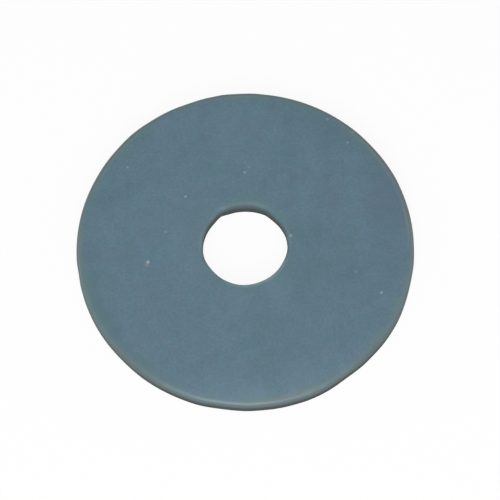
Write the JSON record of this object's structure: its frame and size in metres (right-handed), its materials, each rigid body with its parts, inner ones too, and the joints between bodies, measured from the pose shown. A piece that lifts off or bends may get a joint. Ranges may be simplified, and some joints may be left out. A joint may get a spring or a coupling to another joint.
{
  "type": "flush valve seal",
  "caption": "Flat round rubber seal with a central stem hole, softly rounded upper edges and a flat sealing face, for a cistern's flush valve.",
  "frame": {"origin": "centre of the sealing face, where the disc's axis meets its underside", "axes": "+Z along the disc's axis, from the sealing face to the clamped face; the disc is the same all round, so +X and +Y are any two radii at right angles"},
  "size_m": [0.0636, 0.0636, 0.0035],
  "materials": {
    "seal_rubber": "matte"
  },
  "bodies": {
    "root": {"seal_disc": "seal_rubber"}
  },
  "joints": []
}
